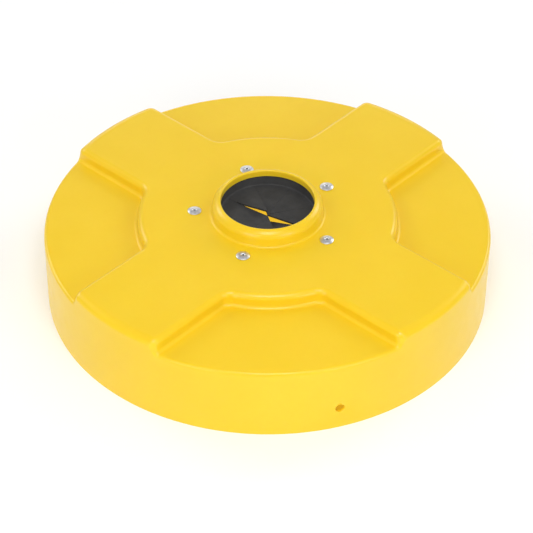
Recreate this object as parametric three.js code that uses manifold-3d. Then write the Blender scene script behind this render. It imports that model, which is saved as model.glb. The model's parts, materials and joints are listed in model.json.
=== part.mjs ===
// Lid for an open-head 55 gallon drum used as a litter bin: a moulded plastic shell with a
// cross-shaped deck and a collar round its drop hole, and a rubber diaphragm, cut into eight
// flaps, that five blind rivets hold under the deck. Millimetres, +Z up. The origin is the
// centre of the skirt's lower edge. The recessed sectors lie on +-X and +-Y.

import * as THREE from 'three';
import { mergeVertices } from 'three/addons/utils/BufferGeometryUtils.js';
import Module from 'manifold-3d';

const manifoldLibrary = await Module();
manifoldLibrary.setup();

// Driving dimensions
const WALL = 4.4;                    // moulded wall of the shell
const SKIRT_RADIUS = 311;            // 24.5 in over the skirt
const SECTOR_HEIGHT = 107.5;         // top of the recessed sectors
const DECK_HEIGHT = 127;             // top of the cross-shaped deck, 5 in
const ARM_HALF_WIDTH = 75;           // middle of an arm's side wall to the arm's centre line
const PLATEAU_RADIUS = 181;          // middle of the wall between two arms
const DECK_EDGE_RADIUS = 8;          // rounding of the deck's edge
const RIM_EDGE_RADIUS = 5;           // rounding of the sectors' outer rim

const DROP_HOLE_RADIUS = 65;         // clear opening of the collar
const COLLAR_SHOULDER_RADIUS = 12;   // outer rounding, centred over the edge of the drop hole
const COLLAR_SHOULDER_HEIGHT = 138.7;
const COLLAR_FOOT_SPREAD = 1.5;      // how far the flank leans out from shoulder to deck
const COLLAR_LIP_RADIUS = 2.5;       // rounding into the drop hole
const COLLAR_LIP_BOTTOM = 140;       // trimmed edge of the inner wall
const COLLAR_FOOT_RADIUS = 3;        // fillet between collar and deck

const FIXING_HOLE_RADIUS = 6.35;     // 1/2 in hole in the skirt
const FIXING_HOLE_HEIGHT = 34;
const FIXING_HOLE_AZIMUTH = -75;     // degrees

const RUBBER = 3;                    // thickness of flange, web and flaps
const DIAPHRAGM_RADIUS = 122;        // outer edge of the flange
const WEB_TOP = 124.5;               // top face of web and flat flaps
const SLEEVE_INNER_RADIUS = 66.5;    // it stands just under the collar's trimmed lip
const FLAP_COUNT = 8;
const FIRST_CUT_AZIMUTH = 12;        // degrees
const CUT_REACH = 64.3;              // radius that the star cuts reach
const CUT_WIDTH = 1.3;
const FLAP_DROOPS = [2.5, 0.5, -5, 4.2, 3.4, 3.2, 13.5, 2.5]; // degrees, tip down is positive

const RIVET_COUNT = 5;
const RIVET_CIRCLE_RADIUS = 101.6;   // 8 in circle
const FIRST_RIVET_AZIMUTH = 32;      // degrees
const RIVET_SHANK_RADIUS = 3.2;      // 1/4 in blind rivet
const RIVET_FLANGE_RADIUS = 9.5;     // 3/4 in large flange
const RIVET_BORE_RADIUS = 2;
const MANDREL_RADIUS = 1.6;
const WASHER_THICKNESS = 1.2;
const WASHER_RADIUS = 9.5;

const GAP = 0.3;                     // between pieces that touch
const AROUND = 72;                   // facets round the large turned shapes

// Derived heights, from the deck down through the rivet's stack
const DECK_UNDERSIDE = DECK_HEIGHT - WALL;
const FLANGE_TOP = DECK_UNDERSIDE - GAP;
const FLANGE_BOTTOM = FLANGE_TOP - RUBBER;
const WASHER_TOP = FLANGE_BOTTOM - GAP;
const WASHER_BOTTOM = WASHER_TOP - WASHER_THICKNESS;
const BULB_TOP = WASHER_BOTTOM - GAP;
const BULB_BOTTOM = BULB_TOP - 5.6;
const RIVET_HOLE_RADIUS = RIVET_SHANK_RADIUS + GAP;
const HINGE_HEIGHT = WEB_TOP - RUBBER / 2;
const HINGE_RADIUS = CUT_REACH * Math.cos(Math.PI / FLAP_COUNT);

const materials = {
  shell: new THREE.MeshStandardMaterial({ color: 0xf5cf36, roughness: 0.42, metalness: 0 }),
  rubber: new THREE.MeshStandardMaterial({ color: 0x2b2b2c, roughness: 0.7, metalness: 0 }),
  aluminium: new THREE.MeshStandardMaterial({ color: 0xc9ccd0, roughness: 0.3, metalness: 1 }),
  steel: new THREE.MeshStandardMaterial({ color: 0x8d9094, roughness: 0.4, metalness: 1 }),
};

const part = new THREE.Group();

// Geometry helpers

function radians(degrees) {
  return THREE.MathUtils.degToRad(degrees);
}

// Points of an arc in the (radius, height) plane, both ends included.
function arc(centreRadius, centreHeight, radius, fromDegrees, toDegrees, steps) {
  const points = [];
  for (let step = 0; step <= steps; step += 1) {
    const angle = radians(fromDegrees + (toDegrees - fromDegrees) * step / steps);
    points.push([centreRadius + radius * Math.cos(angle), centreHeight + radius * Math.sin(angle)]);
  }
  return points;
}

// A turned solid about Z. The profile runs upwards on its outside, from axis to axis or closed.
function turned(profile, segments) {
  const geometry = new THREE.LatheGeometry(profile.map(([r, z]) => new THREE.Vector2(r, z)), segments);
  geometry.rotateX(Math.PI / 2);
  return geometry;
}

function closedProfile(profile) {
  return [...profile, profile[0]];
}

// A prism along Z from an outline of [x, y] points.
function prism(outline, bottom, top) {
  const shape = new THREE.Shape(outline.map(([x, y]) => new THREE.Vector2(x, y)));
  const geometry = new THREE.ExtrudeGeometry(shape, { depth: top - bottom, bevelEnabled: false });
  geometry.translate(0, 0, bottom);
  return geometry;
}

function solid(geometry) {
  const bare = geometry.clone();
  bare.deleteAttribute('normal');
  bare.deleteAttribute('uv');
  const merged = mergeVertices(bare);
  const index = merged.index.array;
  const triangles = [];
  for (let corner = 0; corner < index.length; corner += 3) {
    const [a, b, c] = index.slice(corner, corner + 3);
    if (a !== b && b !== c && c !== a) {
      triangles.push(a, b, c);
    }
  }
  const mesh = new manifoldLibrary.Mesh({
    numProp: 3,
    vertProperties: new Float32Array(merged.attributes.position.array),
    triVerts: new Uint32Array(triangles),
  });
  return new manifoldLibrary.Manifold(mesh);
}

function geometryOf(manifold) {
  const mesh = manifold.getMesh();
  const geometry = new THREE.BufferGeometry();
  geometry.setAttribute('position', new THREE.BufferAttribute(new Float32Array(mesh.vertProperties), 3));
  geometry.setIndex(new THREE.BufferAttribute(new Uint32Array(mesh.triVerts), 1));
  geometry.computeVertexNormals();
  return geometry;
}

function addMesh(parent, name, geometry, material) {
  const mesh = new THREE.Mesh(geometry, material);
  mesh.name = name;
  parent.add(mesh);
  return mesh;
}

// Places that repeat round the Z axis

function rivetAzimuth(number) {
  return radians(FIRST_RIVET_AZIMUTH + number * 360 / RIVET_COUNT);
}

function flapAzimuth(number) {
  return radians(FIRST_CUT_AZIMUTH + (number + 0.5) * 360 / FLAP_COUNT);
}

function withRivetHoles(body) {
  let drilled = body;
  for (let number = 0; number < RIVET_COUNT; number += 1) {
    const azimuth = rivetAzimuth(number);
    const hole = new THREE.CylinderGeometry(RIVET_HOLE_RADIUS, RIVET_HOLE_RADIUS, 3 * WALL, 12);
    hole.rotateX(Math.PI / 2);
    hole.translate(
      RIVET_CIRCLE_RADIUS * Math.cos(azimuth),
      RIVET_CIRCLE_RADIUS * Math.sin(azimuth),
      DECK_UNDERSIDE,
    );
    drilled = drilled.subtract(solid(hole));
  }
  return drilled;
}

// Lid shell: the outside is one full body and the hollow is the same body, one wall smaller

// A disc with a rounded upper edge.
function disc(radius, bottom, top, edgeRadius) {
  return solid(turned([
    [0, bottom],
    [radius, bottom],
    ...arc(radius - edgeRadius, top - edgeRadius, edgeRadius, 0, 90, 3),
    [0, top],
  ], AROUND));
}

// The cross: four straight arms and, between them, arcs about the Z axis.
function cross(halfWidth, plateauRadius, bottom, top, edgeRadius) {
  const armAngle = Math.asin(halfWidth / plateauRadius);
  const reach = SKIRT_RADIUS + 30;
  const arcSteps = 8;
  const outline = [];
  for (let quarter = 0; quarter < 4; quarter += 1) {
    const armAzimuth = radians(45 + 90 * quarter);
    for (const side of [-1, 1]) {
      outline.push(new THREE.Vector2(reach, side * halfWidth).rotateAround(new THREE.Vector2(), armAzimuth));
    }
    const arcStart = armAzimuth + armAngle;
    const arcSpan = Math.PI / 2 - 2 * armAngle;
    for (let step = 0; step <= arcSteps; step += 1) {
      const angle = arcStart + arcSpan * step / arcSteps;
      outline.push(new THREE.Vector2(plateauRadius * Math.cos(angle), plateauRadius * Math.sin(angle)));
    }
  }
  const geometry = new THREE.ExtrudeGeometry(new THREE.Shape(outline), {
    depth: top - bottom - 2 * edgeRadius,
    bevelThickness: edgeRadius,
    bevelSize: edgeRadius,
    bevelOffset: -edgeRadius,
    bevelSegments: 3,
  });
  geometry.translate(0, 0, bottom + edgeRadius);
  return solid(geometry);
}

function shellBody(offset, bottom) {
  const radius = SKIRT_RADIUS - offset;
  const crossFoot = SECTOR_HEIGHT - 40;
  const sectors = disc(radius, bottom, SECTOR_HEIGHT - offset, RIM_EDGE_RADIUS - offset);
  const deckEdge = DECK_EDGE_RADIUS - offset;
  const deckDisc = disc(radius, crossFoot, DECK_HEIGHT - offset, deckEdge);
  const deckCross = cross(
    ARM_HALF_WIDTH - offset,
    PLATEAU_RADIUS - offset,
    crossFoot - DECK_EDGE_RADIUS,
    DECK_HEIGHT - offset,
    deckEdge,
  );
  return sectors.add(deckDisc.intersect(deckCross));
}

const shoulderEdge = DROP_HOLE_RADIUS + COLLAR_SHOULDER_RADIUS;
const flankFoot = shoulderEdge + COLLAR_FOOT_SPREAD;
const lipCentreRadius = DROP_HOLE_RADIUS + COLLAR_LIP_RADIUS;
const lipReach = COLLAR_SHOULDER_RADIUS - COLLAR_LIP_RADIUS;
const lipCentreHeight = COLLAR_SHOULDER_HEIGHT + Math.sqrt(lipReach ** 2 - COLLAR_LIP_RADIUS ** 2);
const lipStart = THREE.MathUtils.radToDeg(Math.acos(COLLAR_LIP_RADIUS / lipReach));

function collarBody() {
  const foot = flankFoot + COLLAR_FOOT_RADIUS;
  return solid(turned([
    [0, DECK_UNDERSIDE - WALL],
    [foot, DECK_UNDERSIDE - WALL],
    ...arc(foot, DECK_HEIGHT + COLLAR_FOOT_RADIUS, COLLAR_FOOT_RADIUS, 270, 180, 3),
    ...arc(DROP_HOLE_RADIUS, COLLAR_SHOULDER_HEIGHT, COLLAR_SHOULDER_RADIUS, 0, lipStart, 6),
    ...arc(lipCentreRadius, lipCentreHeight, COLLAR_LIP_RADIUS, lipStart, 180, 4).slice(1),
    [0, lipCentreHeight],
  ], AROUND));
}

// What is cut away inside the collar: the drop hole above, and below it the collar's hollow.
function collarHollow() {
  const hollowRadius = COLLAR_SHOULDER_RADIUS - WALL;
  const hollowEnd = THREE.MathUtils.radToDeg(Math.acos(WALL / hollowRadius));
  return solid(turned([
    [0, DECK_UNDERSIDE - 2 * WALL],
    [flankFoot - WALL, DECK_UNDERSIDE - 2 * WALL],
    ...arc(DROP_HOLE_RADIUS, COLLAR_SHOULDER_HEIGHT, hollowRadius, 0, hollowEnd, 3),
    [DROP_HOLE_RADIUS + WALL, COLLAR_LIP_BOTTOM],
    [DROP_HOLE_RADIUS, COLLAR_LIP_BOTTOM],
    [DROP_HOLE_RADIUS, lipCentreHeight + COLLAR_SHOULDER_RADIUS],
    [0, lipCentreHeight + COLLAR_SHOULDER_RADIUS],
  ], AROUND));
}

function fixingHole() {
  const geometry = new THREE.CylinderGeometry(FIXING_HOLE_RADIUS, FIXING_HOLE_RADIUS, 8 * WALL, 20);
  geometry.rotateZ(Math.PI / 2);
  geometry.translate(SKIRT_RADIUS, 0, FIXING_HOLE_HEIGHT);
  geometry.rotateZ(radians(FIXING_HOLE_AZIMUTH));
  return solid(geometry);
}

function lidShell() {
  const outside = shellBody(0, 0).add(collarBody());
  const shell = outside.subtract(shellBody(WALL, -WALL)).subtract(collarHollow());
  return geometryOf(withRivetHoles(shell).subtract(fixingHole()));
}

addMesh(part, 'lid_shell', lidShell(), materials.shell);

// Rubber diaphragm: the ring that stays still, and the flaps, each on its own hinge line

function diaphragmRing() {
  const sleeveOuter = SLEEVE_INNER_RADIUS + RUBBER;
  const sleeveTop = COLLAR_LIP_BOTTOM - GAP;
  const webInner = HINGE_RADIUS - 3 * RUBBER;
  const chamfer = 0.8;
  const ring = solid(turned(closedProfile([
    [webInner, WEB_TOP - RUBBER],
    [SLEEVE_INNER_RADIUS, WEB_TOP - RUBBER],
    [SLEEVE_INNER_RADIUS, FLANGE_BOTTOM],
    [DIAPHRAGM_RADIUS, FLANGE_BOTTOM],
    [DIAPHRAGM_RADIUS, FLANGE_TOP],
    [sleeveOuter, FLANGE_TOP],
    [sleeveOuter, sleeveTop - chamfer],
    [sleeveOuter - chamfer, sleeveTop],
    [SLEEVE_INNER_RADIUS + chamfer, sleeveTop],
    [SLEEVE_INNER_RADIUS, sleeveTop - chamfer],
    [SLEEVE_INNER_RADIUS, WEB_TOP],
    [webInner, WEB_TOP],
  ]), AROUND));
  const openingRadius = (HINGE_RADIUS + RUBBER / 2 + GAP) / Math.cos(Math.PI / FLAP_COUNT);
  const opening = [];
  for (let corner = 0; corner < FLAP_COUNT; corner += 1) {
    const azimuth = flapAzimuth(corner + 0.5);
    opening.push([openingRadius * Math.cos(azimuth), openingRadius * Math.sin(azimuth)]);
  }
  return geometryOf(withRivetHoles(ring.subtract(solid(prism(opening, FLANGE_BOTTOM, DECK_HEIGHT)))));
}

// One flap about its hinge line: X points outwards, the hinge is the Y axis, the tip is at -X.
function flap() {
  const halfAngle = Math.PI / FLAP_COUNT;
  const tip = CUT_WIDTH / 2 / Math.sin(halfAngle) - HINGE_RADIUS;
  const noseReach = RUBBER;
  const halfWidth = (noseReach - tip) * Math.tan(halfAngle);
  const wedge = solid(prism([[tip, 0], [noseReach, -halfWidth], [noseReach, halfWidth]], -RUBBER, RUBBER));
  const section = [
    [-HINGE_RADIUS, -RUBBER / 2],
    ...arc(0, 0, RUBBER / 2, -90, 90, 6),
    [-HINGE_RADIUS, RUBBER / 2],
  ];
  const slab = prism(section, -HINGE_RADIUS, HINGE_RADIUS);
  slab.rotateX(Math.PI / 2);
  return geometryOf(wedge.intersect(solid(slab)));
}

addMesh(part, 'diaphragm_ring', diaphragmRing(), materials.rubber);

FLAP_DROOPS.forEach((droop, number) => {
  const place = new THREE.Group();
  place.rotation.z = flapAzimuth(number);
  part.add(place);
  const mesh = addMesh(place, `flap_${number + 1}`, flap(), materials.rubber);
  mesh.position.set(HINGE_RADIUS, 0, HINGE_HEIGHT);
  mesh.rotation.y = -radians(droop);
});

// Blind rivets, each with the stub of its mandrel and a backing washer

function rivetBody() {
  const crown = DECK_HEIGHT + GAP + 2.4;
  const seat = DECK_HEIGHT + GAP;
  return turned(closedProfile([
    [RIVET_BORE_RADIUS, BULB_BOTTOM],
    [RIVET_SHANK_RADIUS, BULB_BOTTOM],
    [RIVET_SHANK_RADIUS + 1.5, BULB_BOTTOM + 1.8],
    [RIVET_SHANK_RADIUS + 1.5, BULB_TOP - 1.5],
    [RIVET_SHANK_RADIUS, BULB_TOP],
    [RIVET_SHANK_RADIUS, seat],
    [RIVET_FLANGE_RADIUS, seat],
    [RIVET_FLANGE_RADIUS, seat + 0.6],
    [RIVET_FLANGE_RADIUS * 0.8, crown - 0.8],
    [RIVET_FLANGE_RADIUS * 0.5, crown - 0.2],
    [RIVET_BORE_RADIUS, crown],
  ]), 16);
}

function rivetMandrel() {
  const headTop = BULB_BOTTOM - GAP;
  return turned([
    [0, headTop - 2],
    [MANDREL_RADIUS + 0.6, headTop - 2],
    [MANDREL_RADIUS + 1.2, headTop - 1.2],
    [MANDREL_RADIUS + 1.2, headTop],
    [MANDREL_RADIUS, headTop],
    [MANDREL_RADIUS, DECK_HEIGHT + 1],
    [0, DECK_HEIGHT + 1],
  ], 10);
}

function backingWasher() {
  return turned(closedProfile([
    [RIVET_HOLE_RADIUS, WASHER_BOTTOM],
    [WASHER_RADIUS, WASHER_BOTTOM],
    [WASHER_RADIUS, WASHER_TOP],
    [RIVET_HOLE_RADIUS, WASHER_TOP],
  ]), 16);
}

for (let number = 0; number < RIVET_COUNT; number += 1) {
  const azimuth = rivetAzimuth(number);
  const place = new THREE.Group();
  place.position.set(RIVET_CIRCLE_RADIUS * Math.cos(azimuth), RIVET_CIRCLE_RADIUS * Math.sin(azimuth), 0);
  part.add(place);
  addMesh(place, `rivet_body_${number + 1}`, rivetBody(), materials.aluminium);
  addMesh(place, `rivet_mandrel_${number + 1}`, rivetMandrel(), materials.steel);
  addMesh(place, `backing_washer_${number + 1}`, backingWasher(), materials.steel);
}

export default part;
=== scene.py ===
"""Plastic drum lid with a rubber star flap: finished pieces round the plain solids of the frame.

Named sizes and profiles are in millimetres, with +Z up and the camera's side at -Y. Materials, lamps
and the camera are in metres, and so is every mesh once new_object has made it.
The shell is one implicit solid: a rounded disc with a raised cross, a collar and a constant wall.
It is meshed on a grid whose lines follow the skirt, the plateau and the sides of the arms.
"""

import json
import math

import bmesh
import bpy
import numpy as np
from mathutils import Matrix, Vector


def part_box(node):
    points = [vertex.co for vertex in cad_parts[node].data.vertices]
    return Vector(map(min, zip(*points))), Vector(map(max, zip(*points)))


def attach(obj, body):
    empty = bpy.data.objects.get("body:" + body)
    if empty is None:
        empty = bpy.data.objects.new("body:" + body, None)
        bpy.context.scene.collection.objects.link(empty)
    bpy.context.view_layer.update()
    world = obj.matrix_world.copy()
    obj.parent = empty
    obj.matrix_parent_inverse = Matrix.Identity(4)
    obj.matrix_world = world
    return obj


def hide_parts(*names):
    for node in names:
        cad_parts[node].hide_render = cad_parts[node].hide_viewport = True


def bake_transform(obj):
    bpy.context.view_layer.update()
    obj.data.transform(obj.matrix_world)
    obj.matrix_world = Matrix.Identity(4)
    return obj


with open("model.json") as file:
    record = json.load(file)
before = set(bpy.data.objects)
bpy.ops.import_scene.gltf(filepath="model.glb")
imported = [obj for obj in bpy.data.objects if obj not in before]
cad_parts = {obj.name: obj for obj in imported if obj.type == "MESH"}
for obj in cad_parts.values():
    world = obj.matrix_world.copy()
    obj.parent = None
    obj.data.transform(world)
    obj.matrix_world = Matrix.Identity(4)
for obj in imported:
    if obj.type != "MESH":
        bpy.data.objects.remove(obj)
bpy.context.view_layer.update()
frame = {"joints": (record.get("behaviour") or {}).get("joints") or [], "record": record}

MM = 0.001

# ---------------------------------------------------------------- sizes (mm)

mounts = {mount["name"]: mount["pos_m"] for mount in frame["record"]["mounts"]}
joints = {joint["name"]: joint for joint in frame["joints"]}

SKIRT_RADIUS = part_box("lid_shell")[1][0] / MM
WALL = 2 * (SKIRT_RADIUS - mounts["skirt_edge"][0] / MM)
DECK_HEIGHT = mounts["deck_face"][2] / MM
SECTOR_HEIGHT = mounts["drum_rim_seat"][2] / MM + WALL

ARM_HALF_WIDTH = 75
PLATEAU_RADIUS = 181
WALL_DRAFT = math.tan(math.radians(4))
DECK_EDGE_RADIUS = 8
RIM_EDGE_RADIUS = 5                           # outer edge of the sectors
ARM_END_RADIUS = 13                           # outer edge of the arms
FLOOR_FILLET = 5                              # between a sector's floor and the walls round it
INNER_CORNER_FILLET = 9                       # between an arm and the plateau, seen from above

DROP_HOLE_RADIUS = 65
SHOULDER_RADIUS = 12
SHOULDER_HEIGHT = 138.7                       # centre of the collar's rounding
FLANK_LEAN = math.tan(math.radians(7))
LIP_RADIUS = 2.5
LIP_BOTTOM = 140                              # the collar's wall is trimmed off below this
COLLAR_FOOT_FILLET = 3.5
TRIM_RADIUS = 0.7

FIXING_HOLE_RADIUS = 6.35
FIXING_HOLE_HEIGHT = 34
FIXING_HOLE_AZIMUTH = math.radians(-75)
FIXING_HOLE_FLARE = 0.5

RUBBER = 3                                    # thickness of the sheet
FLANGE_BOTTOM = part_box("diaphragm_ring")[0][2] / MM
FLANGE_TOP = FLANGE_BOTTOM + RUBBER
FLANGE_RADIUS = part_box("diaphragm_ring")[1][0] / MM
SLEEVE_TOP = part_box("diaphragm_ring")[1][2] / MM
SLEEVE_INNER_RADIUS = 66.5
SLEEVE_OUTER_RADIUS = SLEEVE_INNER_RADIUS + RUBBER
WEB_FILLET = 2
FLAP_COUNT = 8
FLAP_HALF_ANGLE = math.pi / FLAP_COUNT
HINGE_RADIUS = math.hypot(*joints["flap_1_bend"]["pos_m"][:2]) / MM
HINGE_HEIGHT = joints["flap_1_bend"]["pos_m"][2] / MM
FLAP_DROOPS = (0.9, 1, -6, 4.2, 3.4, 3.2, 13.5, 1.6)    # degrees, tip down is positive
FLAP_BEND_STARTS = (0, 0, 3, 0, 0, 0, 0, 0)   # how far in from its root each flap starts to turn
FLAP_BEND_LENGTH = 12
CUT_WIDTH = 0.08

RIVET_COUNT = 5
RIVET_SHANK_RADIUS = 3.2
RIVET_BORE_RADIUS = 2
RIVET_HOLE_RADIUS = RIVET_SHANK_RADIUS + 0.3
MANDREL_RADIUS = 1.6
ABOVE_ALL = 200                               # a height clear of the whole lid


# ---------------------------------------------------------------- implicit solid of the shell


def length(*parts):
    """Length of a vector of which only the positive parts count."""
    return np.sqrt(sum(np.maximum(part, 0) ** 2 for part in parts))


def meet(radius, *solids):
    """Intersection with its convex edges rounded."""
    deepest = np.maximum.reduce(solids)
    return np.minimum(deepest, -radius) + length(*[solid + radius for solid in solids])


def join(radius, *solids):
    """Union with its concave corners filled."""
    nearest = np.minimum.reduce(solids)
    return np.maximum(nearest, radius) - length(*[radius - solid for solid in solids])


def outer_distance(x, y, z):
    """Distance to the outside of the shell as if it were full, negative inside."""
    radius = np.hypot(x, y)
    lean = WALL_DRAFT * (z - (DECK_HEIGHT + SECTOR_HEIGHT) / 2)
    across = np.abs(np.abs(x) - np.abs(y)) / math.sqrt(2)
    side = across - ARM_HALF_WIDTH + lean
    plateau = radius - PLATEAU_RADIUS + lean
    cross = join(INNER_CORNER_FILLET, side, plateau)
    deck = meet(DECK_EDGE_RADIUS, cross, z - DECK_HEIGHT)
    top = join(FLOOR_FILLET, deck, z - SECTOR_HEIGHT)
    rise = np.clip((z - SECTOR_HEIGHT) / (DECK_HEIGHT - SECTOR_HEIGHT), 0, 1)
    edge = RIM_EDGE_RADIUS + (ARM_END_RADIUS - RIM_EDGE_RADIUS) * rise
    lid = meet(edge, radius - SKIRT_RADIUS, top)
    flank = radius - DROP_HOLE_RADIUS - SHOULDER_RADIUS + FLANK_LEAN * (z - SHOULDER_HEIGHT)
    button = meet(SHOULDER_RADIUS, flank, z - SHOULDER_HEIGHT - SHOULDER_RADIUS)
    raised = join(COLLAR_FOOT_FILLET, lid, button)
    return meet(LIP_RADIUS, raised, DROP_HOLE_RADIUS - radius)


def shell_distance(x, y, z):
    """Distance to the moulded wall, with its trimmed edges at the skirt and the collar's lip."""
    radius = np.hypot(x, y)
    outer = outer_distance(x, y, z)
    under_lip = np.maximum(radius - (DROP_HOLE_RADIUS + WALL + 1), z - LIP_BOTTOM)
    return meet(TRIM_RADIUS, outer, -(outer + WALL), -under_lip, -z)


def gradient(distance, points, step=0.02):
    """Slope of an implicit solid at each point, by central differences."""
    slopes = []
    for axis in range(3):
        shift = np.zeros(3)
        shift[axis] = step
        ahead = distance(*(points + shift).T)
        behind = distance(*(points - shift).T)
        slopes.append((ahead - behind) / (2 * step))
    return np.stack(slopes, -1)


# ---------------------------------------------------------------- meshing of an implicit solid


def steps(*spans):
    """Levels from (start, spacing) pairs; the last pair only gives the end."""
    levels = []
    for (start, spacing), (end, _) in zip(spans, spans[1:]):
        count = max(1, round((end - start) / spacing))
        levels.extend(start + (end - start) * index / count for index in range(count))
    return np.array(levels + [spans[-1][0]])


def shell_grid():
    """Grid nodes (radius, azimuth, height). Azimuth lines run parallel to the sides of the arms.

    Lines lie close together where the surface turns: at the collar, the walls, the rims and a band
    on each side of every arm's edge.
    """
    band = 15
    band_spacing = 1.15
    lines_on_arm = 6
    lines_on_sector = 10
    radii = steps(
        (62, 0.8), (84, 3), (90, 7), (168, 1.1), (190, 6), (286, 1.5), (304, 0.8), (312.6, 1),
    )
    heights = steps(
        (-1.2, 0.6), (1.8, 4), (10, 9.5), (96, 0.9), (128.5, 1.1), (136, 0.9), (153.5, 1),
    )
    offsets = steps((-band, band_spacing), (band, 1))
    reach = np.maximum(radii, PLATEAU_RADIUS)[:, None]
    arm_edge = np.arcsin((ARM_HALF_WIDTH - band) / reach)
    sector_edge = np.arcsin((ARM_HALF_WIDTH + band) / reach)
    arm_share = np.linspace(0, 1, lines_on_arm + 1)[:-1]
    sector_share = np.linspace(0, 1, lines_on_sector + 1)[1:]
    half = np.concatenate([
        arm_edge * arm_share,
        np.arcsin((ARM_HALF_WIDTH + offsets) / reach),
        sector_edge + (math.pi / 4 - sector_edge) * sector_share,
    ], axis=1)
    quarter = np.concatenate([half, math.pi / 2 - half[:, -2:0:-1]], axis=1)
    azimuths = np.concatenate([quarter + math.pi / 4 + math.pi / 2 * turn for turn in range(4)], axis=1)
    shape = azimuths.shape + heights.shape
    nodes = np.empty(shape + (3,))
    nodes[..., 0] = (radii[:, None] * np.cos(azimuths))[:, :, None]
    nodes[..., 1] = (radii[:, None] * np.sin(azimuths))[:, :, None]
    nodes[..., 2] = heights
    return nodes


def surface_net(distance, nodes):
    """Quads round an implicit solid on a grid that closes on itself along its second axis."""
    ni, nj, nk = nodes.shape[:3]
    values = distance(nodes[..., 0], nodes[..., 1], nodes[..., 2])
    total = np.zeros((ni - 1, nj, nk - 1, 3))
    count = np.zeros((ni - 1, nj, nk - 1))
    crossings = []
    for axis in range(3):
        if axis == 1:
            here, there = values, np.roll(values, -1, 1)
            start, end = nodes, np.roll(nodes, -1, 1)
        else:
            low = [slice(None)] * 3
            high = [slice(None)] * 3
            low[axis] = slice(0, -1)
            high[axis] = slice(1, None)
            here, there = values[tuple(low)], values[tuple(high)]
            start, end = nodes[tuple(low)], nodes[tuple(high)]
        crossed = (here < 0) != (there < 0)
        share = np.where(crossed, here / np.where(crossed, here - there, 1), 0)
        point = (start + (end - start) * share[..., None]) * crossed[..., None]
        others = [other for other in range(3) if other != axis]
        for first in (0, 1):
            for second in (0, 1):
                pick = [slice(None)] * 3
                moved_point, moved_mark = point, crossed
                for other, shift in zip(others, (first, second)):
                    if other == 1:
                        moved_point = np.roll(moved_point, -shift, 1)
                        moved_mark = np.roll(moved_mark, -shift, 1)
                    else:
                        pick[other] = slice(shift, nodes.shape[other] - 1 + shift)
                total += moved_point[tuple(pick)]
                count += moved_mark[tuple(pick)]
        crossings.append((crossed, here < 0))
    active = count > 0
    number = np.full(active.shape, -1)
    number[active] = np.arange(active.sum())
    points = total[active] / count[active][:, None]
    quads = []
    for axis, (crossed, rising) in enumerate(crossings):
        second, third = (axis + 1) % 3, (axis + 2) % 3
        places = np.argwhere(crossed)
        inner = np.ones(len(places), bool)
        for other in (second, third):
            if other != 1:
                inner &= (places[:, other] > 0) & (places[:, other] < nodes.shape[other] - 1)
        places = places[inner]
        corners = []
        for back_second, back_third in ((1, 1), (0, 1), (0, 0), (1, 0)):
            cell = places.copy()
            cell[:, second] -= back_second
            cell[:, third] -= back_third
            cell[:, 1] %= nj
            corners.append(number[tuple(cell.T)])
        face = np.stack(corners, 1)
        up = rising[tuple(places.T)]
        quads.append(np.where(up[:, None], face, face[:, ::-1]))
    return points, np.concatenate(quads)


def settle(distance, points, rounds=4, flattest=0.2):
    """Moves points onto the solid's surface. The squared slope is never taken as less than flattest."""
    for _ in range(rounds):
        slope = gradient(distance, points)
        size = np.maximum((slope ** 2).sum(-1, keepdims=True), flattest)
        points = points - distance(*points.T)[:, None] * slope / size
    return points


# ---------------------------------------------------------------- mesh helpers


def new_object(name, points_mm, faces):
    mesh = bpy.data.meshes.new(name)
    mesh.from_pydata([tuple(point) for point in np.asarray(points_mm) * MM], [], faces)
    mesh.validate()
    mesh.update()
    mesh.shade_smooth()
    piece = bpy.data.objects.new(name, mesh)
    bpy.context.collection.objects.link(piece)
    return piece


def arc(centre_radius, centre_height, radius, start, end, count):
    """Points of an arc in the (radius, height) plane, both ends included, angles in degrees."""
    angles = np.radians(np.linspace(start, end, count + 1))
    return [(centre_radius + radius * math.cos(a), centre_height + radius * math.sin(a)) for a in angles]


def turned(name, profile, segments, centre=(0, 0), closed=True):
    """A turned piece about the vertical through centre. An open profile starts and ends on the axis."""
    rings = []
    points = []
    for radius, height in profile:
        if radius < 1e-6:
            rings.append([len(points)] * segments)
            points.append((centre[0], centre[1], height))
            continue
        rings.append(list(range(len(points), len(points) + segments)))
        for index in range(segments):
            angle = 2 * math.pi * index / segments
            place = (centre[0] + radius * math.cos(angle), centre[1] + radius * math.sin(angle), height)
            points.append(place)
    pairs = list(zip(rings, rings[1:]))
    if closed:
        pairs.append((rings[-1], rings[0]))
    faces = []
    for low, high in pairs:
        for index in range(segments):
            after = (index + 1) % segments
            corners = [low[index], low[after], high[after], high[index]]
            face = [c for k, c in enumerate(corners) if c != corners[k - 1]]
            if len(face) > 2:
                faces.append(face)
    return new_object(name, points, faces)


def smooth_by_angle(piece, degrees=35):
    piece.data.set_sharp_from_angle(angle=math.radians(degrees))


def cut(piece, cutters):
    """Drills the piece with all the cutters at once and removes them."""
    drills = bmesh.new()
    for cutter in cutters:
        drills.from_mesh(cutter.data)
        bpy.data.objects.remove(cutter)
    mesh = bpy.data.meshes.new("drills")
    drills.to_mesh(mesh)
    drills.free()
    tool = bpy.data.objects.new("drills", mesh)
    bpy.context.collection.objects.link(tool)
    modifier = piece.modifiers.new("drill", "BOOLEAN")
    modifier.operation = "DIFFERENCE"
    modifier.solver = "EXACT"
    modifier.object = tool
    with bpy.context.temp_override(object=piece, active_object=piece):
        bpy.ops.object.modifier_apply(modifier=modifier.name)
    bpy.data.objects.remove(tool)


# ---------------------------------------------------------------- shell


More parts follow.
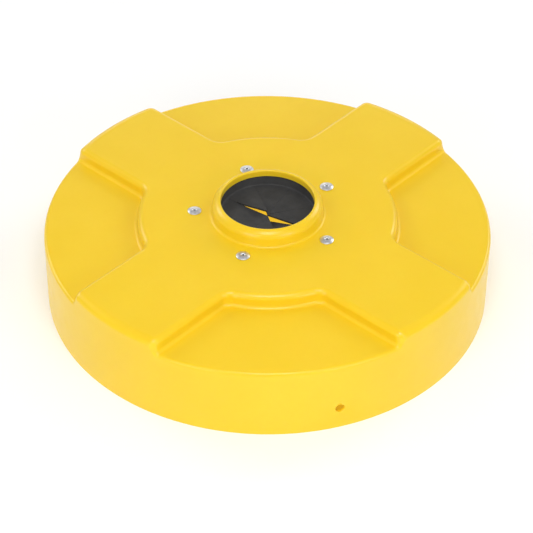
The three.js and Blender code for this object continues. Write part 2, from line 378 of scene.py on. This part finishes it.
def fixing_hole_cutter():
    """A drill with a slight countersink where it breaks each face of the skirt."""
    reach = 6
    outside = SKIRT_RADIUS
    inside = SKIRT_RADIUS - WALL
    wide = FIXING_HOLE_RADIUS + reach
    profile = [
        (0, inside - reach), (wide, inside - reach), (FIXING_HOLE_RADIUS, inside + FIXING_HOLE_FLARE),
        (FIXING_HOLE_RADIUS, outside - FIXING_HOLE_FLARE), (wide, outside + reach), (0, outside + reach),
    ]
    cutter = turned("fixing_hole_cutter", profile, 64, closed=False)
    cutter.data.transform(Matrix.Rotation(math.pi / 2, 4, "Y"))
    cutter.data.transform(Matrix.Translation((0, 0, FIXING_HOLE_HEIGHT * MM)))
    cutter.data.transform(Matrix.Rotation(FIXING_HOLE_AZIMUTH, 4, "Z"))
    return cutter


def rivet_places():
    """Centre of each rivet's head."""
    places = []
    for number in range(1, RIVET_COUNT + 1):
        low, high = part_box(f"rivet_body_{number}")
        places.append(((low[0] + high[0]) / 2 / MM, (low[1] + high[1]) / 2 / MM))
    return places


def rivet_hole_cutters(bottom, top):
    profile = [(0, bottom), (RIVET_HOLE_RADIUS, bottom), (RIVET_HOLE_RADIUS, top), (0, top)]
    return [turned("rivet_hole_cutter", profile, 32, place, closed=False) for place in rivet_places()]


def shell_normals(mesh, agreement=0.8):
    """Exact normals of the implicit solid at each corner, or the face's own where they disagree."""
    vertex_count = len(mesh.vertices)
    points = np.empty(vertex_count * 3)
    mesh.vertices.foreach_get("co", points)
    slope = gradient(shell_distance, points.reshape(-1, 3) / MM)
    slope /= np.maximum(np.linalg.norm(slope, axis=1, keepdims=True), 1e-9)
    corner_vertex = np.empty(len(mesh.loops), int)
    mesh.loops.foreach_get("vertex_index", corner_vertex)
    face_normal = np.empty(len(mesh.polygons) * 3)
    mesh.polygons.foreach_get("normal", face_normal)
    corner_count = np.empty(len(mesh.polygons), int)
    mesh.polygons.foreach_get("loop_total", corner_count)
    own = np.repeat(face_normal.reshape(-1, 3), corner_count, axis=0)
    exact = slope[corner_vertex]
    agree = (own * exact).sum(1, keepdims=True) > agreement
    mesh.normals_split_custom_set([tuple(normal) for normal in np.where(agree, exact, own)])


def build_shell():
    points, quads = surface_net(shell_distance, shell_grid())
    piece = new_object("shell", settle(shell_distance, points), quads.tolist())
    cut(piece, [fixing_hole_cutter(), *rivet_hole_cutters(DECK_HEIGHT - 2 * WALL, DECK_HEIGHT + WALL)])
    piece.data.shade_smooth()
    shell_normals(piece.data)
    return piece


# ---------------------------------------------------------------- rubber diaphragm


def flap_azimuth(number):
    """Azimuth of a flap's centre line, from its hinge. Flaps are numbered from 1."""
    place = joints[f"flap_{number}_bend"]["pos_m"]
    return math.atan2(place[1], place[0])


def rounded_profile(corners, radius, count):
    """A closed profile with each of its corners cut round."""
    profile = []
    for index, corner in enumerate(corners):
        here = Vector(corner)
        before = (Vector(corners[index - 1]) - here).normalized()
        after = (Vector(corners[(index + 1) % len(corners)]) - here).normalized()
        for step in range(count + 1):
            share = step / count
            bend = here + radius * (before * (1 - share) ** 2 + after * share ** 2)
            profile.append(tuple(bend))
    return profile


def build_ring():
    """Flange under the deck, sleeve inside the collar and web inside the sleeve, in one moulding."""
    web_top = HINGE_HEIGHT + RUBBER / 2
    web_bottom = HINGE_HEIGHT - RUBBER / 2
    inner = HINGE_RADIUS - RUBBER
    moulded_radius = 0.9
    corner_steps = 3
    profile = [(inner, web_bottom)]
    corners = [
        (SLEEVE_INNER_RADIUS, web_bottom), (SLEEVE_INNER_RADIUS, FLANGE_BOTTOM),
        (FLANGE_RADIUS, FLANGE_BOTTOM), (FLANGE_RADIUS, FLANGE_TOP),
        (SLEEVE_OUTER_RADIUS, FLANGE_TOP), (SLEEVE_OUTER_RADIUS, SLEEVE_TOP),
        (SLEEVE_INNER_RADIUS, SLEEVE_TOP),
    ]
    ends = [(SLEEVE_INNER_RADIUS, web_top), (inner, web_top), (inner, web_bottom)]
    rounded = rounded_profile(corners + ends, moulded_radius, corner_steps)
    profile += rounded[: (corner_steps + 1) * len(corners)]
    fillet = arc(SLEEVE_INNER_RADIUS - WEB_FILLET, web_top + WEB_FILLET, WEB_FILLET, 0, -90, 8)
    profile += fillet
    profile.append((inner, web_top))
    piece = turned("diaphragm", profile, 240)
    # The web's inner edge is drawn in to the straight roots of the flaps.
    for vertex in piece.data.vertices:
        radius = math.hypot(vertex.co.x, vertex.co.y) / MM
        if radius > inner + 0.1:
            continue
        azimuth = math.atan2(vertex.co.y, vertex.co.x)
        off = (azimuth - flap_azimuth(1) + FLAP_HALF_ANGLE) % (2 * FLAP_HALF_ANGLE) - FLAP_HALF_ANGLE
        chord = HINGE_RADIUS / math.cos(off)
        vertex.co.x *= chord / radius
        vertex.co.y *= chord / radius
    cut(piece, rivet_hole_cutters(0, ABOVE_ALL))
    smooth_by_angle(piece)
    return piece


def lofted(name, sections):
    """A solid through closed sections of the same number of points, capped at both ends."""
    points = [point for section in sections for point in section]
    count = len(sections[0])
    faces = []
    for row in range(len(sections) - 1):
        for index in range(count):
            after = (index + 1) % count
            low, high = row * count, (row + 1) * count
            faces.append((low + index, low + after, high + after, high + index))
    faces.append(tuple(reversed(range(count))))
    faces.append(tuple(range(len(points) - count, len(points))))
    return new_object(name, points, faces)


def flap_section(half_width, edge=0.15, across=14):
    """Outline of a flap's cross section as (across, height), round from its top."""
    edge = min(edge, half_width * 0.9)
    half = RUBBER / 2
    side = [(half_width - edge + edge * math.sin(a), half - edge + edge * math.cos(a))
            for a in (0.0, 0.8, math.pi / 2)]
    top = [(-1 + 2 * step / across) for step in range(1, across)]
    outline = [(share * (half_width - edge), half) for share in top]
    outline += side
    outline += [(x, -z) for x, z in reversed(side)]
    outline += [(-x, -z) for x, z in outline[: across - 1]]
    outline += [(-x, -z) for x, z in side]
    outline += [(-x, z) for x, z in reversed(side)]
    return outline


def build_flap(number):
    """One flap: it leaves the ring level, turns down over its first stretch and runs on to its tip."""
    droop = math.radians(FLAP_DROOPS[number - 1])
    bend_start = FLAP_BEND_STARTS[number - 1]
    azimuth = flap_azimuth(number)
    outward = Vector((math.cos(azimuth), math.sin(azimuth), 0))
    sideways = Vector((-math.sin(azimuth), math.cos(azimuth), 0))
    rows = 36
    reach = HINGE_RADIUS - CUT_WIDTH / math.sin(FLAP_HALF_ANGLE)
    stride = reach / rows
    place = outward * HINGE_RADIUS + Vector((0, 0, HINGE_HEIGHT))
    sections = []
    for row in range(rows + 1):
        inward = row * stride
        share = min(1, max(0, inward - bend_start) / FLAP_BEND_LENGTH)
        turn = droop * share * share * (3 - 2 * share)
        half_cut = CUT_WIDTH / 2 / math.cos(FLAP_HALF_ANGLE)
        half_width = (HINGE_RADIUS - inward) * math.tan(FLAP_HALF_ANGLE) - half_cut
        along = -outward * math.cos(turn) - Vector((0, 0, math.sin(turn)))
        normal = -outward * math.sin(turn) + Vector((0, 0, math.cos(turn)))
        section = []
        for across, height in flap_section(half_width):
            section.append(place + sideways * across + normal * height)
        sections.append(section)
        place = place + along * stride
    piece = lofted(f"flap_{number}_rubber", sections)
    smooth_by_angle(piece)
    return piece, outward


# ---------------------------------------------------------------- rivets


def rivet_profile():
    """Domed head with a dimple round its bore, shank and the bulb set under the washer."""
    seat = DECK_HEIGHT + 0.3
    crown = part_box("rivet_body_1")[1][2] / MM
    head_radius = (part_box("rivet_body_1")[1][0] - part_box("rivet_body_1")[0][0]) / 2 / MM
    bulb_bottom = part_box("rivet_body_1")[0][2] / MM
    bulb_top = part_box("backing_washer_1")[0][2] / MM - 0.3
    bulb_middle = (bulb_bottom + bulb_top) / 2
    bulb_radius = RIVET_SHANK_RADIUS + 1.5
    bulb_centre = RIVET_SHANK_RADIUS - 0.6
    rim = 0.75
    dome_steps = 10
    dome = []
    for step in range(dome_steps + 1):
        share = step / dome_steps
        radius = head_radius - 0.35 - (head_radius - RIVET_BORE_RADIUS - 2.2) * share
        dome.append((radius, seat + rim + (crown - seat - rim) * math.sin(share * math.pi / 2)))
    return [
        (RIVET_BORE_RADIUS, bulb_bottom),
        (RIVET_SHANK_RADIUS - 0.3, bulb_bottom),
        (RIVET_SHANK_RADIUS, bulb_bottom + 0.3),
        *arc(bulb_centre, bulb_middle, bulb_radius - RIVET_SHANK_RADIUS + 0.6, -70, 70, 8),
        (RIVET_SHANK_RADIUS, bulb_top),
        (RIVET_SHANK_RADIUS, seat),
        (head_radius - 0.25, seat),
        (head_radius, seat + 0.2),
        (head_radius, seat + 0.5),
        *dome[1:],
        (RIVET_BORE_RADIUS + 1.5, crown - 0.02),
        (RIVET_BORE_RADIUS + 0.9, crown - 0.3),
        (RIVET_BORE_RADIUS + 0.4, crown - 0.7),
        (RIVET_BORE_RADIUS, crown - 1.0),
    ]


def mandrel_profile():
    """Stub left in the bore, with its torn end, and the head that set the bulb."""
    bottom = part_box("rivet_mandrel_1")[0][2] / MM
    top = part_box("rivet_mandrel_1")[1][2] / MM
    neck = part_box("rivet_body_1")[0][2] / MM - 0.3
    head = MANDREL_RADIUS + 1.2
    return [
        (0, bottom), (head - 0.9, bottom), (head - 0.3, bottom + 0.35), (head, bottom + 0.9),
        (head, neck - 0.15), (head - 0.15, neck), (MANDREL_RADIUS, neck), (MANDREL_RADIUS, top - 0.7),
        (MANDREL_RADIUS - 0.15, top - 0.45), (1.1, top - 0.3), (0.9, top - 0.05), (0.35, top),
        (0, top - 0.1),
    ]


def washer_profile():
    """Punched washer: burred over below, rolled at its upper edge."""
    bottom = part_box("backing_washer_1")[0][2] / MM
    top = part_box("backing_washer_1")[1][2] / MM
    outer = (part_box("backing_washer_1")[1][0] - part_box("backing_washer_1")[0][0]) / 2 / MM
    return [
        (RIVET_HOLE_RADIUS + 0.15, bottom), (outer - 0.3, bottom), (outer - 0.08, bottom + 0.1),
        (outer, bottom + 0.35), (outer, top - 0.15), (outer - 0.15, top), (RIVET_HOLE_RADIUS, top),
        (RIVET_HOLE_RADIUS, bottom + 0.2),
    ]


# ---------------------------------------------------------------- materials


class Surface:
    """A Principled material with short calls for the nodes that vary it."""

    def __init__(self, name, **values):
        self.material = bpy.data.materials.new(name)
        self.material.use_nodes = True
        self.tree = self.material.node_tree
        self.shader = self.tree.nodes["Principled BSDF"]
        for word, value in values.items():
            socket = word.replace("_", " ").title().replace("Ior", "IOR")
            self.shader.inputs[socket].default_value = value
        self.place = self.node("ShaderNodeTexCoord").outputs["Object"]

    def node(self, kind, **settings):
        made = self.tree.nodes.new(kind)
        for setting, value in settings.items():
            setattr(made, setting, value)
        return made

    def link(self, source, target):
        self.tree.links.new(source, target)

    def noise(self, size, detail=3, roughness=0.55, stretch=(1, 1, 1)):
        """Noise from 0 to 1 whose features are about `size` metres across."""
        mapping = self.node("ShaderNodeMapping")
        mapping.inputs["Scale"].default_value = stretch
        self.link(self.place, mapping.inputs["Vector"])
        made = self.node("ShaderNodeTexNoise")
        made.inputs["Scale"].default_value = 1 / size
        made.inputs["Detail"].default_value = detail
        made.inputs["Roughness"].default_value = roughness
        self.link(mapping.outputs["Vector"], made.inputs["Vector"])
        return made.outputs["Fac"]

    def spread(self, source, low, high, start=0.0, end=1.0):
        made = self.node("ShaderNodeMapRange")
        made.inputs["From Min"].default_value = low
        made.inputs["From Max"].default_value = high
        made.inputs["To Min"].default_value = start
        made.inputs["To Max"].default_value = end
        self.link(source, made.inputs["Value"])
        return made.outputs["Result"]

    def mix(self, share, first, second):
        made = self.node("ShaderNodeMix", data_type="RGBA")
        self.link(share, made.inputs["Factor"])
        for socket, value in ((made.inputs["A"], first), (made.inputs["B"], second)):
            if isinstance(value, tuple):
                socket.default_value = (*value, 1)
            else:
                self.link(value, socket)
        return made.outputs["Result"]

    def bump(self, height, distance, strength, below=None):
        made = self.node("ShaderNodeBump")
        made.inputs["Strength"].default_value = strength
        made.inputs["Distance"].default_value = distance
        self.link(height, made.inputs["Height"])
        if below is not None:
            self.link(below, made.inputs["Normal"])
        return made.outputs["Normal"]

    def set(self, **sources):
        for socket, source in sources.items():
            self.link(source, self.shader.inputs[socket.replace("_", " ").title()])
        return self.material


def shell_material():
    """Satin yellow polyethylene: faint clouding, an orange-peel skin and light that goes some way in."""
    surface = Surface(
        "yellow_polyethylene", ior=1.5, specular_ior_level=0.32, subsurface_weight=0.35,
        subsurface_scale=1.0, coat_weight=0.22, coat_roughness=0.18,
    )
    surface.shader.inputs["Subsurface Radius"].default_value = (0.0035, 0.0028, 0.0005)
    cloud = surface.spread(surface.noise(0.09, 4), 0.35, 0.65)
    colour = surface.mix(cloud, (0.885, 0.600, 0.014), (0.905, 0.620, 0.020))
    mottle = surface.spread(surface.noise(0.005, 2), 0.3, 0.7, 0, 0.3)
    colour = surface.mix(mottle, colour, (0.875, 0.590, 0.014))
    rough = surface.spread(surface.noise(0.02, 3), 0.3, 0.7, 0.30, 0.38)
    wave = surface.bump(surface.noise(0.035, 2), 0.0004, 0.35)
    peel = surface.bump(surface.noise(0.0025, 2), 0.00006, 0.25, wave)
    return surface.set(base_color=colour, roughness=rough, normal=peel)


def rubber_material():
    """Dusty black sheet rubber with a fine fabric-like mould grain and pale scuffs."""
    surface = Surface("black_rubber", ior=1.5, specular_ior_level=0.35)
    dust = surface.spread(surface.noise(0.03, 6, 0.65), 0.35, 0.7)
    colour = surface.mix(dust, (0.038, 0.038, 0.039), (0.062, 0.062, 0.063))
    scuff = surface.spread(surface.noise(0.012, 5, 0.7, (1, 5, 1)), 0.63, 0.78, 0, 0.35)
    colour = surface.mix(scuff, colour, (0.09, 0.09, 0.09))
    rough = surface.spread(surface.noise(0.02, 4), 0.3, 0.7, 0.62, 0.8)
    soft = surface.bump(surface.noise(0.012, 3), 0.0004, 0.4)
    grain = surface.bump(surface.noise(0.0007, 2), 0.00006, 0.5, soft)
    return surface.set(base_color=colour, roughness=rough, normal=grain)


def metal_material(name, bright, dark, rough_low, rough_high):
    """Bare metal with a turned sheen, small dents and dulled patches."""
    surface = Surface(name, metallic=1.0)
    patch = surface.spread(surface.noise(0.003, 4, 0.6), 0.35, 0.65)
    colour = surface.mix(patch, dark, bright)
    rough = surface.spread(surface.noise(0.0012, 3), 0.3, 0.7, rough_low, rough_high)
    dents = surface.bump(surface.noise(0.002, 2), 0.0001, 0.35)
    scratch = surface.bump(surface.noise(0.0004, 2, 0.5, (1, 6, 1)), 0.00002, 0.5, dents)
    return surface.set(base_color=colour, roughness=rough, normal=scratch)


# ---------------------------------------------------------------- assembly

materials = {
    "shell": shell_material(),
    "rubber": rubber_material(),
    "rivet": metal_material("bright_aluminium", (0.86, 0.86, 0.87), (0.66, 0.67, 0.69), 0.34, 0.48),
    "steel": metal_material("plated_steel", (0.60, 0.61, 0.63), (0.42, 0.43, 0.45), 0.26, 0.42),
}


def fit(piece, slot, node, body="lid"):
    """Gives the piece its finish and puts it in the place of a plain solid. A body of None leaves it
    without a body.
    """
    piece.data.materials.clear()
    piece.data.materials.append(materials[slot])
    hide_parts(node)
    if body:
        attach(piece, body)


fit(build_shell(), "shell", "lid_shell")
fit(build_ring(), "rubber", "diaphragm_ring")

for number in range(1, FLAP_COUNT + 1):
    flap, outward = build_flap(number)
    fit(flap, "rubber", f"flap_{number}", body=None)
    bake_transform(flap)

for number, place in enumerate(rivet_places(), start=1):
    for node, profile, slot, segments, closed in (
        ("rivet_body", rivet_profile(), "rivet", 48, True),
        ("rivet_mandrel", mandrel_profile(), "steel", 24, False),
        ("backing_washer", washer_profile(), "steel", 48, True),
    ):
        piece = turned(f"{node}_{number}_turned", profile, segments, place, closed)
        smooth_by_angle(piece)
        fit(piece, slot, f"{node}_{number}")


# ---------------------------------------------------------------- floor, light and camera

FLOOR_SIZE = 30
CAMERA_DISTANCE = 2.987
CAMERA_AZIMUTH = math.radians(-3.1)
CAMERA_ELEVATION = math.radians(40.22)
CAMERA_ROLL = math.radians(0.35)
CAMERA_LENS = 141.2
AIM = Vector((-0.001, 0, 0.0287))
OPEN_FLOOR_LIGHT = (0.15, 0.15, 0.15)
PAINTED_GLOW_UNDER_LID = (0.62, 0.47, 0.035)            # painted light: the floor under the lid glows with this, in place of daylight through its yellow wall
PAINTED_GLOW_AT_SKIRT = (0.34, 0.22, 0.01)
PAINTED_GLOW_FADES = (0.08, 0.27)             # the painted glow fades from this far from the middle to this far
SKY_STRENGTH = 0.34
SOFTBOX_DISTANCE = 2.6


def direction(azimuth, elevation):
    """Unit vector towards a place seen from the object. Azimuth 0 is straight in front, on -Y."""
    return Vector((
        math.sin(azimuth) * math.cos(elevation),
        -math.cos(azimuth) * math.cos(elevation),
        math.sin(elevation),
    ))


def build_floor():
    mesh = bpy.data.meshes.new("floor")
    half = FLOOR_SIZE / 2
    corners = [(-half, -half, 0), (half, -half, 0), (half, half, 0), (-half, half, 0)]
    mesh.from_pydata(corners, [], [(0, 1, 2, 3)])
    floor = bpy.data.objects.new("floor", mesh)
    bpy.context.collection.objects.link(floor)
    surface = Surface("white_sweep")
    shade = surface.spread(surface.noise(0.4, 3), 0.3, 0.7)
    colour = surface.mix(shade, (0.87, 0.87, 0.87), (0.89, 0.89, 0.89))
    rough = surface.spread(surface.noise(0.1, 3), 0.3, 0.7, 0.8, 0.95)
    middle = surface.node("ShaderNodeVectorMath", operation="LENGTH")
    surface.link(surface.place, middle.inputs[0])
    distance = middle.outputs["Value"]
    outside = surface.spread(distance, SKIRT_RADIUS * MM - 0.01, SKIRT_RADIUS * MM)
    # Painted light: inside the skirt the floor glows yellow, brightest in the middle and fading towards the
    # skirt, in place of daylight let through the lid's wall.
    fading = surface.spread(distance, *PAINTED_GLOW_FADES)
    painted_glow = surface.mix(fading, PAINTED_GLOW_UNDER_LID, PAINTED_GLOW_AT_SKIRT)
    glow = surface.mix(outside, painted_glow, OPEN_FLOOR_LIGHT)
    surface.shader.inputs["Emission Strength"].default_value = 1
    surface.material.cycles.emission_sampling = "NONE"
    mesh.materials.append(surface.set(base_color=colour, roughness=rough, emission_color=glow))


def softbox(name, azimuth, elevation, watts, width=1.0, height=1.0):
    data = bpy.data.lights.new(name, "AREA")
    data.shape = "RECTANGLE"
    data.size = width
    data.size_y = height
    data.energy = watts
    light = bpy.data.objects.new(name, data)
    bpy.context.collection.objects.link(light)
    towards = direction(math.radians(azimuth), math.radians(elevation))
    light.location = towards * SOFTBOX_DISTANCE
    light.rotation_euler = towards.to_track_quat("Z", "Y").to_euler()


def build_world():
    world = bpy.data.worlds.new("studio")
    world.use_nodes = True
    background = world.node_tree.nodes["Background"]
    background.inputs["Color"].default_value = (1, 1, 1, 1)
    background.inputs["Strength"].default_value = SKY_STRENGTH
    bpy.context.scene.world = world


def build_camera():
    data = bpy.data.cameras.new("camera")
    data.lens = CAMERA_LENS
    data.sensor_width = 36
    data.clip_end = 100
    camera = bpy.data.objects.new("camera", data)
    bpy.context.collection.objects.link(camera)
    camera.location = direction(CAMERA_AZIMUTH, CAMERA_ELEVATION) * CAMERA_DISTANCE
    aim = (AIM - camera.location).to_track_quat("-Z", "Y").to_matrix().to_4x4()
    camera.rotation_euler = (aim @ Matrix.Rotation(CAMERA_ROLL, 4, "Z")).to_euler()
    bpy.context.scene.camera = camera


build_floor()
build_world()
softbox("front_top", azimuth=0, elevation=60, watts=25)
softbox("front_left", azimuth=-35, elevation=25, watts=13.6)
softbox("front_right", azimuth=35, elevation=25, watts=13.4)
softbox("back", azimuth=180, elevation=20, watts=7, width=1.6, height=0.7)
softbox("back_left", azimuth=-125, elevation=30, watts=14)
softbox("back_right", azimuth=125, elevation=30, watts=15)
build_camera()
bpy.context.scene.view_settings.view_transform = "Standard"
